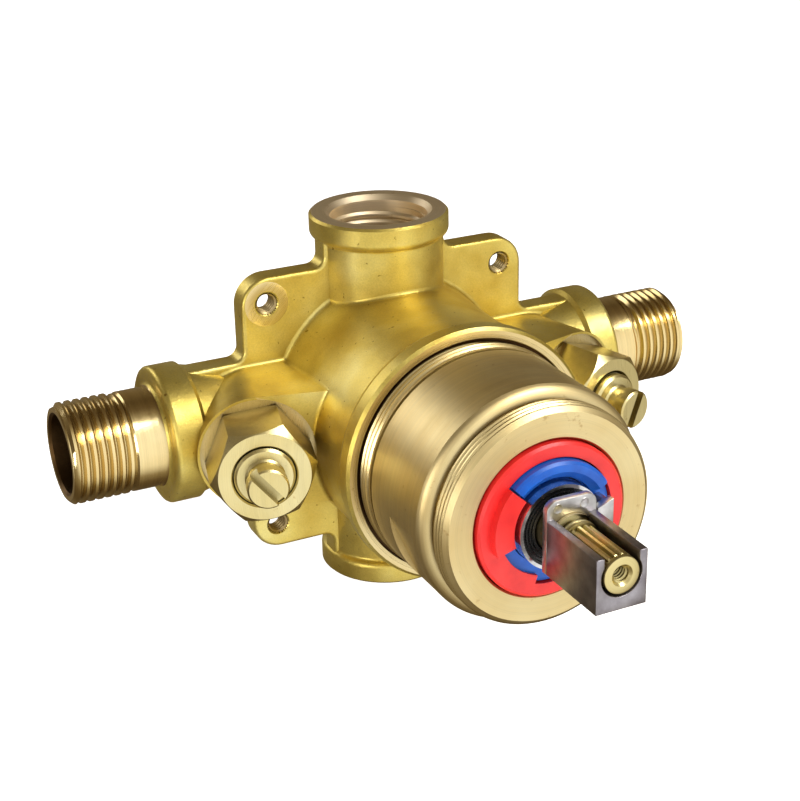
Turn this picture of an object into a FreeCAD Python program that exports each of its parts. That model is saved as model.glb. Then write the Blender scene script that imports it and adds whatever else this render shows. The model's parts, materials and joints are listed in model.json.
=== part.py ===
import FreeCAD, Part
import math
import os

# Concealed shower valve body in millimetres. The origin is the centre of the four fixing holes on the back
# face of the ears. X runs from the hot inlet to the cold inlet, -Y is the front, Z is up.
# A depth is a distance in front of the origin. A lift is a stop plug's height above its seat.

# Fixing ears and webs
hole_span_x = 54.0
hole_span_z = 50.0
hole_radius = 2.15
hole_mouth = 0.45
ear_edge_x = 5.4
ear_edge_z = 5.6
ear_thickness = 4.7
ear_corner = 6.2
inner_corner = 2.4
ear_rounding = 0.9
neck_web_half = 13.9
arm_web_half = 13.4

# Barrel of the casting
axis_depth = 1.7
barrel_radius = 26.6
barrel_waist = 25.5
waist_depth = 22.0
rim_radius = 26.8
rim_length = 3.4
body_front = 41.8
back_depth = 13.2
back_flat_radius = 14.0
casting_fillet = 0.9
fillet_reach_x = 36.0
fillet_reach_z = 27.0
arm_root = 25.0

# Cartridge chamber in the barrel
chamber_radius = 20.6
chamber_floor = 12.0
mouth_thread_radius = 24.1
mouth_thread_length = 9.8
mouth_chamfer = 1.3
body_seal_section = 0.95

# Top and bottom outlet ports
neck_radius = 13.4
collar_radius = 14.6
collar_height = 4.6
neck_beyond_ear = 5.5
port_half_height = hole_span_z / 2 + ear_edge_z + neck_beyond_ear + collar_height - 0.4
collar_flare = 0.9
port_bore = 10.2
port_bore_length = 14.0
port_mouth = 11.2
outlet_radius = 5.5

# Inlet arms
inlet_thread_radius = 10.45
inlet_thread_length = 15.6
inlet_bore = 8.1
shank_radius = 9.9
shank_length = 3.6
bead_radius = 14.3
bead_width = 7.8
bead_flare = 8.5
arm_radius = 11.5
inlet_bore_end = 38.0
passage_radius = 3.9
passage_back = 3.6
port_hole_x = 13.0

# Stops
stop_x = 31.45
stop_splay = 15.0
boss_radius = 12.1
bead_back = stop_x + boss_radius + 1.05
inlet_half_width = bead_back + bead_width + shank_length + inlet_thread_length
boss_length = 19.2
boss_reach = 18.0
spot_radius = 11.6
spot_depth = 1.0
stop_thread_radius = 8.6
stop_thread_length = 7.6
stop_chamber_radius = 7.4
seat_level = -1.0
seat_hole_radius = 4.2
seat_hole_length = 6.4
nut_across_flats = 18.6
nut_chamfer = 1.9
nut_front = 30.4
nut_face_radius = 9.1
nut_bore = 6.3
stem_radius = 6.0
stem_head_radius = 4.1
stem_head_length = 4.4
stem_neck_radius = 3.6
stem_slot = 1.9
stem_slot_depth = 2.4
left_slot_angle = -50.0
right_slot_angle = 65.0
stem_groove_radius = 5.0
stem_seal_height = 10.3
left_nut_angle = 7.5
right_nut_angle = 41.5
plug_radius = 5.6
plug_length = 3.2
plug_stud_radius = 2.2
plug_stud_length = 3.2
washer_thickness = 2.0
stem_above_seat = 6.2
stem_length = 26.6
stem_flange = 1.4
full_lift = 6.0
left_lift = 4.4
right_lift = 5.7

# Bonnet
bonnet_back = 34.0
bonnet_thread_end = 45.4
bonnet_radius = 23.8
bonnet_shoulder = 65.0
bonnet_groove_radius = 20.9
bonnet_groove_depth = 66.9
cap_thread_radius = 21.7
bonnet_front = 72.1
bonnet_mouth = 15.6
bonnet_lip_radius = 13.0
bonnet_lip_depth = 64.0
bonnet_lip_thickness = 3.0
flat_angle = 203.0
flat_distance = 22.6
flat_back = 54.0
flat_front = 63.6

# Cartridge
cartridge_radius = 20.2
disc_level = 26.1
shell_shoulder = 44.6
shell_neck_radius = 16.9
spigot_radius = 8.45
spigot_end = 72.0
disc_radius = 14.8
disc_bore = 15.2
disc_thickness = 2.4
carrier_thickness = 3.0
disc_bay_end = 42.0
cross_bore_depth = 19.4
sleeve_radius = 5.5
sleeve_half_length = 16.5
spool_radius = 3.4
spool_half_length = 9.0
spool_travel = 2.2

# Limit rings and collar in the bonnet's mouth
red_front = 73.2
red_radius = 15.35
red_bore = 12.6
lug_outer = 12.9
lug_inner = 9.0
lug_start = 137.0
lug_end = 197.0
blue_radius = 12.3
low_crown_radius = 10.8
top_crown_start = 30.0
top_crown_end = 135.0
low_crown_start = 200.0
low_crown_end = 252.0
blue_base_front = 72.4
blue_crown_front = 75.0
collar_front = 76.1
sleeve_wall = 0.65
black_collar_radius = 7.75

# Spindle and handle adapter
spindle_radius = 5.0
spindle_hub_radius = 8.6
spindle_flange_radius = 7.6
spline_radius = 3.9
spline_count = 16
spindle_end_radius = 3.8
screw_hole_radius = 1.9
screw_hole_length = 12.0
spindle_groove_radius = 3.9
spindle_seal_depths = (53.0, 58.0)
square_half = 4.4
hub_height = 3.6
adapter_half_width = 5.3
adapter_top = 4.0
adapter_bottom = -6.7
adapter_back = blue_crown_front + 3.2
spline_back = adapter_back + 4.8
adapter_front = adapter_back + 18.0
spindle_front = adapter_front + 0.6
spline_front = adapter_front - 0.8
flange_thickness = 1.5
flange_top = 7.6
channel_half = 2.6
tab_reach = 9.9
tab_top = 4.6
tab_bottom = -0.4
tab_thickness = 1.5
hook_inner = 8.8

# Clearances
loose = 0.3
running = 0.08
seat_gap = 0.1

# Levels of the disc stack, from the fixed disc forward
fixed_low = disc_level + seat_gap
moving_low = fixed_low + disc_thickness + seat_gap
carrier_low = moving_low + disc_thickness + seat_gap
hub_low = carrier_low + carrier_thickness
hub_high = hub_low + hub_height


def vector(x, y, z):
    return FreeCAD.Vector(x, y, z)


def wire_of(points, to_vector):
    """Closed wire. A point with four values ends an arc whose middle is its last two."""
    edges = []
    start = to_vector(points[-1][0], points[-1][1])
    for point in points:
        end = to_vector(point[0], point[1])
        if len(point) == 4:
            middle = to_vector(point[2], point[3])
            edges.append(Part.Arc(start, middle, end).toShape())
        else:
            edges.append(Part.makeLine(start, end))
        start = end
    return Part.Wire(edges)


def turned(points):
    """Solid turned about Z from (radius, height) points."""
    face = Part.Face(wire_of(points, lambda r, h: vector(r, 0, h)))
    return face.revolve(vector(0, 0, 0), vector(0, 0, 1), 360)


def tube(inner, outer, low, high):
    """Ring or tube about Z."""
    return turned([(inner, low), (outer, low), (outer, high), (inner, high)])


def rod(radius, low, high):
    """Round rod about Z."""
    return Part.makeCylinder(radius, high - low, vector(0, 0, low))


def torus(radius, section, height):
    """O-ring about Z."""
    return Part.makeTorus(radius, section, vector(0, 0, height))


def groove_seal(groove, bore, height):
    """O-ring that fills the space between a groove and its bore, just clear of both."""
    return torus((groove + bore) / 2, (bore - groove) / 2 - running, height)


def rounded_prism(corners, low, high):
    """Prism along Z over (x, y, corner radius) points, with each corner rounded by its own radius."""
    edges = []
    ends = []
    count = len(corners)
    for i, (x, y, radius) in enumerate(corners):
        here = vector(x, y, low)
        before = (vector(*corners[i - 1][:2], low) - here).normalize()
        after = (vector(*corners[(i + 1) % count][:2], low) - here).normalize()
        half = before.getAngle(after) / 2
        reach = radius / math.tan(half)
        start = here + before * reach
        end = here + after * reach
        ends.append((start, end))
        if radius > 0:
            middle = here + (before + after).normalize() * (radius / math.sin(half) - radius)
            edges.append(Part.Arc(start, middle, end).toShape())
    for i in range(count):
        start = ends[i - 1][1]
        end = ends[i][0]
        if start.distanceToPoint(end) > 1e-6:
            edges.append(Part.makeLine(start, end))
    face = Part.Face(Part.Wire(Part.__sortEdges__(edges)))
    return face.extrude(vector(0, 0, high - low))


def block(x0, x1, y0, y1, z0, z1):
    return Part.makeBox(x1 - x0, y1 - y0, z1 - z0, vector(x0, y0, z0))


def to_front(shape):
    """Turn a shape drawn with local Z forward and local Y up so that it faces -Y."""
    shape = shape.copy()
    shape.rotate(vector(0, 0, 0), vector(1, 0, 0), 90)
    return shape


def to_side(shape, side):
    """Turn a shape drawn along Z so that it runs along X, on the port axis."""
    shape = shape.copy()
    shape.rotate(vector(0, 0, 0), vector(0, 1, 0), 90 * side)
    shape.translate(vector(0, -axis_depth, 0))
    return shape


def to_port(shape, side):
    """Place a shape drawn along Z on the port axis, pointing up or down."""
    shape = shape.copy()
    if side < 0:
        shape.rotate(vector(0, 0, 0), vector(1, 0, 0), 180)
    shape.translate(vector(0, -axis_depth, 0))
    return shape


def to_stop(shape, side):
    """Place a shape drawn with local Z outward on a stop's leaning axis."""
    shape = to_front(shape)
    shape.rotate(vector(0, 0, 0), vector(0, 0, 1), stop_splay * side)
    shape.translate(vector(stop_x * side, -axis_depth, 0))
    return shape


def sector(inner, outer, low, high, start, end):
    """Part of a ring about Z between two angles in degrees."""
    ring = Part.makeCylinder(outer, high - low, vector(0, 0, low), vector(0, 0, 1), end - start)
    ring.rotate(vector(0, 0, 0), vector(0, 0, 1), start)
    return ring.cut(rod(inner, low - 1, high + 1))


def polar(shape, count):
    """Copies of a shape spread evenly about Z."""
    copies = []
    for i in range(count):
        copy = shape.copy()
        copy.rotate(vector(0, 0, 0), vector(0, 0, 1), 360.0 * i / count)
        copies.append(copy)
    return Part.makeCompound(copies)


def fused(shapes):
    return shapes[0].fuse(shapes[1:]).removeSplitter()


def inner_corners(shape):
    """Concave edges round the barrel and the bosses, without those behind the arms."""
    corners = []
    for edge in shape.Edges:
        middle = edge.valueAt((edge.FirstParameter + edge.LastParameter) / 2)
        behind_arm = middle.y > -1 and abs(middle.x) > arm_root
        if behind_arm or abs(middle.x) > fillet_reach_x or abs(middle.z) > fillet_reach_z:
            continue
        normals = []
        for face in shape.ancestorsOfType(edge, Part.Face):
            u, v = face.Surface.parameter(middle)
            normals.append(face.normalAt(u, v))
        if len(normals) < 2 or normals[0].dot(normals[1]) > 0.8:
            continue
        probe = middle + (normals[0] - normals[1]) * 0.05
        if shape.isInside(probe, 1e-4, False):
            corners.append(edge)
    return corners


def save(name, shape):
    shape.exportStep("parts/" + name + ".step")


# Valve body casting

def barrel():
    """Round barrel of the casting, domed at the back and with a machined rim at the front."""
    rim_back = body_front - rim_length
    return to_front(turned([
        (0, -back_depth),
        (back_flat_radius, -back_depth),
        (barrel_radius, 1.0, back_flat_radius + 9.4, -8.6),
        (barrel_radius, ear_thickness - 0.7),
        (barrel_waist + 0.4, rim_back - 2.0, barrel_waist, waist_depth),
        (rim_radius, rim_back),
        (rim_radius, body_front - 0.6),
        (rim_radius - 0.6, body_front),
        (0, body_front),
    ]))


def port_outside():
    """Neck and collar of one outlet port."""
    collar_back = port_half_height - collar_height
    return turned([
        (0, 0),
        (neck_radius, 0),
        (neck_radius, collar_back - collar_flare),
        (neck_radius + 0.5, collar_back - 0.2, neck_radius + 0.12, collar_back - 0.5),
        (collar_radius, collar_back + collar_flare, collar_radius - 0.25, collar_back + 0.2),
        (collar_radius, port_half_height - 0.5),
        (collar_radius - 0.5, port_half_height),
        (0, port_half_height),
    ])


def arm_outside():
    """Arm that flares into a rounded bead, then a plain shank and the threaded end."""
    bead_front = bead_back + bead_width
    thread_start = bead_front + shank_length
    return turned([
        (0, 0),
        (arm_radius + 0.8, 0),
        (arm_radius, 30.0),
        (arm_radius, bead_back - bead_flare),
        (bead_radius - 0.8, bead_back),
        (bead_radius, bead_back + 0.9),
        (bead_radius, bead_front - 1.6),
        (bead_radius - 1.6, bead_front, bead_radius - 0.45, bead_front - 0.5),
        (shank_radius, bead_front + 1.8, shank_radius + 0.8, bead_front + 0.5),
        (shank_radius, thread_start),
        (inlet_thread_radius, thread_start + 0.4),
        (inlet_thread_radius, inlet_half_width - 0.9),
        (inlet_thread_radius - 0.9, inlet_half_width),
        (0, inlet_half_width),
    ])


def web_plate():
    """Flat fixing plate with four ears, webs along the arms and strips up to the port collars."""
    ear_x = hole_span_x / 2 + ear_edge_x
    ear_z = hole_span_z / 2 + ear_edge_z
    neck_z = ear_z + neck_beyond_ear
    web_x = bead_back + 0.5
    quarter = [
        (web_x, arm_web_half, 0),
        (ear_x, arm_web_half, inner_corner),
        (ear_x, ear_z, ear_corner),
        (neck_web_half, ear_z, inner_corner),
        (neck_web_half, neck_z, 0),
    ]
    top_left = [(-x, z, r) for x, z, r in reversed(quarter)]
    bottom_left = [(-x, -z, r) for x, z, r in quarter]
    bottom_right = [(x, -z, r) for x, z, r in reversed(quarter)]
    plate = rounded_prism(quarter + top_left + bottom_left + bottom_right, 0, ear_thickness)
    front_edges = [e for e in plate.Edges if e.BoundBox.ZMin > ear_thickness - 0.01]
    return to_front(plate.makeFillet(ear_rounding, front_edges))


def stop_boss():
    """Flat-fronted boss of one stop, drawn for the left side: round outside, straight towards the barrel."""
    outline = [
        (boss_reach, -boss_radius),
        (boss_reach, boss_radius),
        (0, boss_radius),
        (0, -boss_radius, -boss_radius, 0),
    ]
    face = Part.Face(wire_of(outline, lambda x, y: vector(x, y, 0)))
    return face.extrude(vector(0, 0, boss_length))


def mirrored_x(shape):
    return shape.mirror(vector(0, 0, 0), vector(1, 0, 0))


def ear_holes():
    """The four tapped holes, each with a small countersink."""
    hole = turned([
        (0, -1),
        (hole_radius, -1),
        (hole_radius, ear_thickness - hole_mouth),
        (hole_radius + hole_mouth + 1, ear_thickness + 1),
        (0, ear_thickness + 1),
    ])
    holes = []
    for x in (-hole_span_x / 2, hole_span_x / 2):
        for z in (-hole_span_z / 2, hole_span_z / 2):
            copy = to_front(hole)
            copy.translate(vector(x, 0, z))
            holes.append(copy)
    return holes


def chamber():
    """Cartridge chamber with its threaded mouth."""
    thread_back = body_front - mouth_thread_length
    return to_front(turned([
        (0, chamber_floor),
        (chamber_radius, chamber_floor),
        (chamber_radius, thread_back),
        (mouth_thread_radius, thread_back),
        (mouth_thread_radius, body_front - mouth_chamfer),
        (mouth_thread_radius + mouth_chamfer + 1, body_front + 1),
        (0, body_front + 1),
    ]))


def port_inside():
    """Threaded bore of one port and the waterway behind it."""
    thread_end = port_half_height - port_bore_length
    mouth = port_mouth - port_bore
    return turned([
        (0, -1),
        (outlet_radius, -1),
        (outlet_radius, thread_end - 4.0),
        (port_bore, thread_end),
        (port_bore, port_half_height - mouth),
        (port_mouth + 1, port_half_height + 1),
        (0, port_half_height + 1),
    ])


def arm_inside():
    """Bore of one inlet arm up to its stop."""
    return turned([
        (0, inlet_bore_end),
        (inlet_bore, inlet_bore_end),
        (inlet_bore, inlet_half_width - 0.5),
        (inlet_bore + 1.5, inlet_half_width + 1),
        (0, inlet_half_width + 1),
    ])


def stop_inside():
    """Stepped bore of one stop: spot face, thread, chamber and seat hole."""
    thread_back = boss_length - stop_thread_length
    return turned([
        (0, seat_level - seat_hole_length),
        (seat_hole_radius, seat_level - seat_hole_length),
        (seat_hole_radius, seat_level),
        (stop_chamber_radius, seat_level),
        (stop_chamber_radius, thread_back),
        (stop_thread_radius, thread_back),
        (stop_thread_radius, boss_length - spot_depth),
        (spot_radius, boss_length - spot_depth),
        (spot_radius, boss_length + boss_radius),
        (0, boss_length + boss_radius),
    ])


def side_passage(side):
    """Waterway from one stop's seat to the chamber floor."""
    reach = stop_x - port_hole_x + 2.0
    across = Part.makeCylinder(passage_radius, reach, vector(port_hole_x - 2.0, passage_back, 0), vector(1, 0, 0))
    rise = Part.makeCylinder(
        passage_radius, passage_back + chamber_floor + 1, vector(port_hole_x, passage_back, 0), vector(0, -1, 0)
    )
    both = across.fuse(rise)
    return both if side > 0 else mirrored_x(both)


def valve_body():
    outside = [barrel(), web_plate()]
    holes = ear_holes()
    holes.append(chamber())
    holes.append(to_front(rod(outlet_radius, axis_depth, chamber_floor + 1)))
    for side in (-1, 1):
        boss = stop_boss() if side < 0 else mirrored_x(stop_boss())
        outside.append(to_port(port_outside(), side))
        outside.append(to_side(arm_outside(), side))
        outside.append(to_stop(boss, side))
        holes.append(to_port(port_inside(), side))
        holes.append(to_side(arm_inside(), side))
        holes.append(to_stop(stop_inside(), side))
        holes.append(side_passage(side))
    casting = fused(outside)
    casting = casting.makeFillet(casting_fillet, inner_corners(casting))
    return casting.cut(holes)


# Bonnet and the rings in its mouth

def bonnet():
    """Turned bonnet with two wrench flats."""
    lip_front = bonnet_lip_depth + bonnet_lip_thickness
    shell_bore = shell_neck_radius + loose
    skirt_bore = cartridge_radius + 2 * loose
    step = shell_shoulder + 2 * loose
    thread = bonnet_radius - 0.1
    shape = turned([
        (skirt_bore, bonnet_back),
        (thread - 0.8, bonnet_back),
        (thread, bonnet_back + 0.8),
        (thread, bonnet_thread_end),
        (bonnet_radius - 0.7, bonnet_thread_end),
        (bonnet_radius - 0.7, bonnet_thread_end + 0.6),
        (bonnet_radius, bonnet_thread_end + 1.0),
        (bonnet_radius, bonnet_shoulder),
        (bonnet_groove_radius + 0.5, bonnet_groove_depth, bonnet_radius - 0.9, bonnet_shoulder + 1.2),
        (bonnet_groove_radius, bonnet_groove_depth),
        (bonnet_groove_radius, bonnet_groove_depth + 0.6),
        (cap_thread_radius, bonnet_groove_depth + 1.2),
        (cap_thread_radius, bonnet_front - 0.9),
        (cap_thread_radius - 0.9, bonnet_front),
        (bonnet_mouth + 0.4, bonnet_front),
        (bonnet_mouth, bonnet_front - 0.4),
        (bonnet_mouth, lip_front),
        (bonnet_lip_radius, lip_front),
        (bonnet_lip_radius, bonnet_lip_depth),
        (shell_bore, bonnet_lip_depth),
        (shell_bore, step),
        (skirt_bore, step),
    ])
    flat = block(flat_distance, bonnet_radius + 5, -20, 20, flat_back, flat_front)
    flat.rotate(vector(0, 0, 0), vector(0, 0, 1), flat_angle)
    return to_front(shape.cut(polar(flat, 2)))


def hot_limit_ring():
    """Red ring with a raised lug that fills the gap between the blue crowns."""
    back = bonnet_lip_depth + bonnet_lip_thickness + seat_gap
    ring = turned([
        (red_bore, back),
        (red_radius, back),
        (red_radius, red_front - 0.5),
        (red_radius - 0.5, red_front),
        (red_bore, red_front),
    ])
    lug_low = blue_base_front + seat_gap
    lug = sector(lug_inner, lug_outer, lug_low, blue_crown_front, lug_start, lug_end)
    shelf = sector(low_crown_radius + seat_gap, red_bore + 0.1, lug_low, red_front, lug_end, low_crown_end + 2)
    return to_front(fused([ring, lug, shelf]))


def limit_cam():
    """Blue ring with two raised crowns. The adapter's tab travels between the crowns' ends."""
    base = tube(spigot_radius + 0.15, blue_radius, bonnet_lip_depth - seat_gap, blue_base_front)
    pieces = [base]
    for radius, start, end in (
        (blue_radius, top_crown_start, top_crown_end),
        (low_crown_radius, low_crown_start, low_crown_end),
    ):
        crown = turned([
            (spigot_radius + 0.5, blue_base_front - 1),
            (radius, blue_base_front - 1),
            (radius, blue_crown_front - 0.5),
            (radius - 0.5, blue_crown_front),
            (spigot_radius + 1.9, blue_crown_front),
            (spigot_radius + 0.5, blue_crown_front - 1.2),
        ])
        pieces.append(crown.common(sector(1, 20, blue_base_front - 1, 90, start, end)))
    return to_front(fused(pieces))


def retaining_ring():
    """Bright thin sleeve that keeps the black collar on the cartridge's spigot."""
    return to_front(tube(black_collar_radius + 0.05, spigot_radius, spigot_end + seat_gap, collar_front))


def spindle_collar():
    """Black collar round the spindle with three turned grooves in its face."""
    back = spigot_end + seat_gap
    front = collar_front - 0.3
    collar = tube(spindle_radius + loose, black_collar_radius, back, front)
    grooves = []
    for radius in (5.8, 6.45, 7.1):
        grooves.append(tube(radius, radius + 0.3, front - 0.6, front + 1))
    return to_front(collar.cut(grooves))


# Cartridge

def cartridge_base():
    """Lower cartridge moulding: cross bore for the balancing unit and three water holes."""
    body = rod(cartridge_radius, chamber_floor + 2 * loose, disc_level)
    holes = [Part.makeCylinder(
        sleeve_radius + seat_gap, 2 * sleeve_half_length + 1,
        vector(-sleeve_half_length - 0.5, 0, cross_bore_depth), vector(1, 0, 0)
    )]
    for x in (-port_hole_x, port_hole_x):
        hole = rod(2.6, 0, disc_level + 1)
        hole.translate(vector(x, 0, 0))
        holes.append(hole)
    outlet = rod(2.6, 0, disc_level + 1)
    outlet.translate(vector(0, -9.0, 0))
    holes.append(outlet)
    return to_front(body.cut(holes))


def cartridge_shell():
    """Upper cartridge moulding: disc bay, neck and spigot with the spindle's bore."""
    bore = spindle_radius + loose
    return to_front(turned([
        (disc_bore, disc_level + seat_gap),
        (cartridge_radius, disc_level + seat_gap),
        (cartridge_radius, shell_shoulder),
        (shell_neck_radius, shell_shoulder),
        (shell_neck_radius, bonnet_lip_depth - 0.4),
        (spigot_radius, bonnet_lip_depth - 0.4),
        (spigot_radius, spigot_end),
        (bore, spigot_end),
        (bore, disc_bay_end),
        (disc_bore, disc_bay_end),
    ]))


def ring_group(places, low, high):
    """Flat rings that lie side by side: each place is (x, y, inner radius, outer radius)."""
    rings = []
    for x, y, inner, outer in places:
        ring = tube(inner, outer, low, high)
        ring.translate(vector(x, y, 0))
        rings.append(ring)
    return Part.makeCompound(rings)


def cartridge_seals():
    low = chamber_floor + 0.05
    high = chamber_floor + 2 * loose - 0.05
    side = passage_radius + 0.2
    places = [
        (-port_hole_x, 0, side, side + 1.4),
        (port_hole_x, 0, side, side + 1.4),
        (0, 0, outlet_radius + 0.2, outlet_radius + 1.6),
    ]
    return to_front(ring_group(places, low, high))


def ceramic_disc(low, holes):
    """Ceramic disc with round ports: each hole is (x, y, radius)."""
    disc = rod(disc_radius, low, low + disc_thickness)
    cuts = []
    for x, y, radius in holes:
        cut = rod(radius, low - 1, low + disc_thickness + 1)
        cut.translate(vector(x, y, 0))
        cuts.append(cut)
    return disc.cut(cuts)


def fixed_disc():
    ports = [(-port_hole_x + 2.5, 0, 2.4), (port_hole_x - 2.5, 0, 2.4), (0, -9.0, 2.6)]
    return to_front(ceramic_disc(fixed_low, ports))


def moving_disc():
    ports = [(-6.5, 4.5, 2.4), (6.5, 4.5, 2.4), (0, -8.0, 3.2)]
    return to_front(ceramic_disc(moving_low, ports))


def disc_carrier():
    """Plate that turns the moving disc, with a square socket for the spindle."""
    plate = rod(disc_radius, carrier_low, hub_low)
    hub = rod(spindle_hub_radius, hub_low, hub_high)
    half = square_half + running
    socket = block(-half, half, -half, half, hub_low, hub_high + 1)
    return to_front(plate.fuse(hub).cut(socket).removeSplitter())


def balance_sleeve():
    """Sleeve across the cartridge in which the balancing spool slides."""
    stop = spool_half_length + spool_travel + 0.2
    sleeve = turned([
        (2.4, -sleeve_half_length),
        (sleeve_radius, -sleeve_half_length),
        (sleeve_radius, sleeve_half_length),
        (spool_radius + running, sleeve_half_length),
        (spool_radius + running, -stop),
        (2.4, -stop),
    ])
    sleeve.rotate(vector(0, 0, 0), vector(0, 1, 0), 90)
    ports = []
    for x in (-port_hole_x, -5.5, 5.5, port_hole_x):
        ports.append(Part.makeCylinder(1.5, 20, vector(x, 0, -10)))
    sleeve = sleeve.cut(ports)
    sleeve.translate(vector(0, 0, cross_bore_depth))
    return to_front(sleeve)


def balance_plug():
    """Plug that closes the open end of the balancing sleeve."""
    stop = spool_half_length + spool_travel + 0.2
    plug = turned([
        (0, stop),
        (1.6, stop),
        (1.6, sleeve_half_length - 2.6),
        (spool_radius + 0.03, sleeve_half_length - 2.6),
        (spool_radius + 0.03, sleeve_half_length),
        (0, sleeve_half_length),
    ])
    plug.rotate(vector(0, 0, 0), vector(0, 1, 0), 90)
    plug.translate(vector(0, 0, cross_bore_depth))
    return to_front(plug)


def balance_spool():
    """Free spool with two waists, which evens out the hot and cold pressures."""
    half = spool_half_length
    waist = spool_radius - 1.3
    spool = turned([
        (0, -half),
        (spool_radius, -half),
        (spool_radius, -half + 2.4),
        (waist, -half + 2.9),
        (waist, -1.9),
        (spool_radius, -1.4),
        (spool_radius, 1.4),
        (waist, 1.9),
        (waist, half - 2.9),
        (spool_radius, half - 2.4),
        (spool_radius, half),
        (0, half),
    ])
    spool.rotate(vector(0, 0, 0), vector(0, 1, 0), 90)
    spool.translate(vector(0, 0, cross_bore_depth))
    return to_front(spool)


# Spindle and handle adapter

def spindle():
    """Brass spindle: square drive, thrust flange, sealed shaft, splined nose and tapped end."""
    flange_low = hub_high + loose
    flange_high = disc_bay_end - 2 * loose
    profile = [
        (0, flange_low),
        (spindle_flange_radius, flange_low),
        (spindle_flange_radius, flange_high),
        (spindle_radius, flange_high),
    ]
    for middle in spindle_seal_depths:
        profile += [
            (spindle_radius, middle - 0.95),
            (spindle_groove_radius, middle - 0.95),
            (spindle_groove_radius, middle + 0.95),
            (spindle_radius, middle + 0.95),
        ]
    profile += [
        (spindle_radius, adapter_back - 0.2),
        (spline_radius + 0.7, adapter_back - 0.2),
        (spline_radius + 0.7, spline_back - 2.4),
        (spline_radius - 0.5, spline_back - 2.0),
        (spline_radius - 0.5, spline_back - 1.6),
        (spline_radius, spline_back - 1.4),
        (spline_radius, spline_back - 0.5),
        (spline_radius - 0.6, spline_back - 0.3),
        (spline_radius - 0.6, spline_back),
        (spline_radius, spline_back + 0.5),
        (spline_radius, spline_front),
        (spindle_end_radius - 0.5, spline_front + 0.2),
        (spindle_end_radius - 0.5, spline_front + 0.5),
        (spindle_end_radius, spline_front + 0.6),
        (spindle_end_radius, spindle_front - 0.3),
        (spindle_end_radius - 0.3, spindle_front),
        (0, spindle_front),
    ]
    shape = turned(profile)
    square = block(-square_half, square_half, -square_half, square_half, hub_low + seat_gap, flange_low + 0.5)
    groove = rounded_prism([
        (spline_radius - 0.55, 0, 0),
        (spline_radius + 1, -0.8, 0),
        (spline_radius + 1, 0.8, 0),
    ], spline_back - 0.5, spline_front + 0.7)
    hole = turned([
        (0, spindle_front - screw_hole_length),
        (screw_hole_radius, spindle_front - screw_hole_length + 1),
        (screw_hole_radius, spindle_front - 0.5),
        (screw_hole_radius + 1.5, spindle_front + 1),
        (0, spindle_front + 1),
    ])
    return to_front(shape.fuse(square).cut(polar(groove, spline_count)).cut(hole))


def spindle_seals():
    bore = spindle_radius + loose
    rings = [groove_seal(spindle_groove_radius, bore, middle) for middle in spindle_seal_depths]
    return to_front(Part.makeCompound(rings))


def handle_adapter():
    """Cast square adapter: open channel on top, upright flange at the back and a hooked stop tab."""
    half = adapter_half_width
    middle = (adapter_top + adapter_bottom) / 2
    face = adapter_back + flange_thickness
    body = rounded_prism([
        (-half, adapter_bottom, 0.5),
        (half, adapter_bottom, 0.5),
        (half, adapter_top, 0.35),
        (-half, adapter_top, 0.35),
    ], adapter_back, adapter_front)
    flange = rounded_prism([
        (-half, middle, 0),
        (half, middle, 0),
        (half, flange_top, 2.0),
        (-half, flange_top, 2.4),
    ], adapter_back, face)
    tab_back = adapter_back - tab_thickness
    slope = 0.5 * (tab_reach - half)
    tab = rounded_prism([
        (half - 1, tab_bottom, 0),
        (tab_reach, tab_bottom, 0.4),
        (tab_reach, tab_top, 0.3),
        (half - 1, tab_top - slope, 0),
    ], tab_back, adapter_back + 0.2)
    hook = block(hook_inner, tab_reach, tab_bottom, tab_top - 1, blue_base_front + 2 * loose, tab_back + 0.2)
    bore = spline_radius + 0.15
    rear_bore = spline_radius + 0.7 + running
    cuts = [
        rod(spindle_radius + running, tab_back - 1, adapter_back),
        rod(bore, adapter_back - 1, adapter_front + 1),
        rod(rear_bore, adapter_back - 1, spline_back - 1.0),
        rounded_prism([
            (-channel_half, 0, 0),
            (channel_half, 0, 0),
            (channel_half, adapter_top + 1, 0),
            (-channel_half, adapter_top + 1, 0),
        ], spline_back - 0.5, adapter_front + 1),
        rounded_prism([
            (-rear_bore + 0.2, 0, 0),
            (rear_bore - 0.2, 0, 0),
            (rear_bore - 0.2, adapter_top + 1, 0),
            (-rear_bore + 0.2, adapter_top + 1, 0),
        ], face + 0.6, spline_back),
    ]
    return to_front(fused([body, flange, tab, hook]).cut(cuts))


# Stops

def stop_nut(corner_angle):
    """Gland nut: hexagon with a chamfered face, and a threaded shank with the stem's bore."""
    seat = boss_length - spot_depth + 0.02
    corner = nut_across_flats / math.sqrt(3)
    hexagon = rounded_prism([
        (corner * math.cos(angle), corner * math.sin(angle), 0)
        for angle in [math.radians(60 * i + corner_angle) for i in range(6)]
    ], seat, nut_front)
    envelope = turned([
        (0, seat - 1),
        (corner - 0.9, seat - 1),
        (corner - 0.9, seat),
        (corner + 0.1, seat + 0.7),
        (corner + 0.1, nut_front - nut_chamfer),
        (nut_face_radius, nut_front),
        (0, nut_front),
    ])
    shank_back = seat_level + full_lift + stem_above_seat + stem_flange + 2 * seat_gap
    shank = rod(stop_thread_radius - loose, shank_back, seat + 1)
    bore = turned([
        (0, 0),
        (nut_bore, 0),
        (nut_bore, nut_front - 0.3),
        (nut_bore + 1.3, nut_front + 1),
        (0, nut_front + 1),
    ])
    return hexagon.common(envelope).fuse(shank).cut(bore).removeSplitter()


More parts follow.
